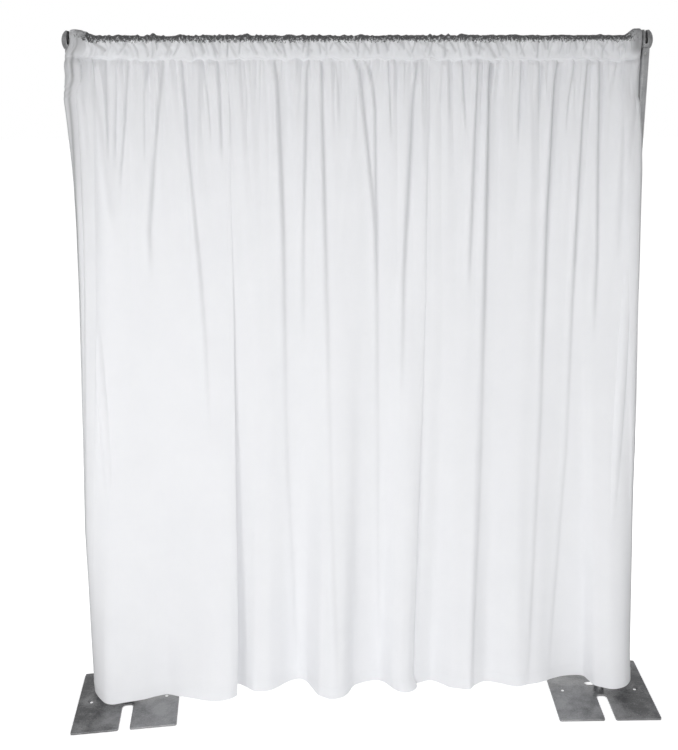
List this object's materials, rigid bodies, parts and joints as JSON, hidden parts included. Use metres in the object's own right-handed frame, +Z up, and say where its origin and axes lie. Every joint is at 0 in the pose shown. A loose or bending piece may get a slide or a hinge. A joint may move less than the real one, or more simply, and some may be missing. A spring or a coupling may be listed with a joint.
{
  "type": "pipe and drape backdrop",
  "caption": "Free-standing backdrop: gathered white drape panels on a telescoping crossbar hooked between uprights that slip over pins on square slotted base plates.",
  "frame": {"origin": "on the floor at the middle of the footprint of the two base plates", "axes": "+Z up, +X to the right along the crossbar, -Y towards the viewer"},
  "size_m": [2.2316, 0.422, 2.4483],
  "materials": {
    "plate_steel": "satin grey hammered powder coat on steel plate",
    "pin_steel": "zinc plated steel pipe, rubbed by the uprights",
    "upright_aluminium": "satin anodised aluminium tube with fine draw lines",
    "head_casting": "satin grey casting, slightly grained",
    "crossbar_tube": "dark grey satin enamel on steel tube",
    "hook_steel": "dark grey enamel worn bright where the hook seats",
    "zinc_fastener": "zinc plated",
    "black_nylon": "moulded black nylon",
    "white_cloth": "white plain-weave polyester, soft and slightly sheer"
  },
  "bodies": {
    "base_left": {"base_plate_left": "plate_steel"},
    "pin_left": {"base_pin_left": "pin_steel", "pin_plug_left": "pin_steel", "base_screw_left": "zinc_fastener"},
    "upright_left": {"upright_tube_left": "upright_aluminium", "slotted_head_left": "head_casting", "head_pin_left": "zinc_fastener"},
    "crossbar_left": {"crossbar_outer_tube": "crossbar_tube", "guide_bushing": "black_nylon", "hook_left": "hook_steel", "hook_plug_left": "black_nylon", "hook_rivet_left": "zinc_fastener", "drape_left": "white_cloth"},
    "drape_middle": {"drape_middle": "white_cloth"},
    "crossbar_right": {"crossbar_inner_tube": "crossbar_tube", "inner_glide": "black_nylon", "hook_right": "hook_steel", "hook_plug_right": "black_nylon", "hook_rivet_right": "zinc_fastener", "drape_right": "white_cloth"},
    "upright_right": {"upright_tube_right": "upright_aluminium", "slotted_head_right": "head_casting", "head_pin_right": "zinc_fastener"},
    "pin_right": {"base_pin_right": "pin_steel", "pin_plug_right": "pin_steel", "base_screw_right": "zinc_fastener"},
    "base_right": {"base_plate_right": "plate_steel"}
  },
  "joints": [
    {"name": "left_base_turn", "type": "hinge", "parent": "base_left", "child": "pin_left", "pos_m": [-0.90477, 0, 0], "axis": [0, 0, 1], "continuous": true},
    {"name": "uprights_lift", "type": "slide", "parent": "pin_left", "child": "upright_left", "axis": [0, 0, 1], "range_m": [0, 0.21]},
    {"name": "crossbar_lift", "type": "slide", "parent": "upright_left", "child": "crossbar_left", "axis": [0, 0, 1], "range_m": [0, 0.07]},
    {"name": "crossbar_extend", "type": "slide", "parent": "crossbar_left", "child": "crossbar_right", "axis": [1, 0, 0], "range_m": [0, 1.2192]},
    {"name": "middle_panel_slide", "type": "slide", "parent": "crossbar_left", "child": "drape_middle", "axis": [1, 0, 0], "range_m": [0, 0.6096]},
    {"name": "right_head_drop", "type": "slide", "parent": "crossbar_right", "child": "upright_right", "axis": [0, 0, -1], "range_m": [0, 0.07]},
    {"name": "right_pin_drop", "type": "slide", "parent": "upright_right", "child": "pin_right", "axis": [0, 0, -1], "range_m": [0, 0.21]},
    {"name": "right_base_turn", "type": "hinge", "parent": "pin_right", "child": "base_right", "pos_m": [0.92403, 0, 0], "axis": [0, 0, 1], "continuous": true}
  ],
  "couplings": [
    {"joint": "middle_panel_slide", "follows": "crossbar_extend", "ratio": 0.5},
    {"joint": "right_head_drop", "follows": "crossbar_lift", "ratio": 1},
    {"joint": "right_pin_drop", "follows": "uprights_lift", "ratio": 1}
  ]
}
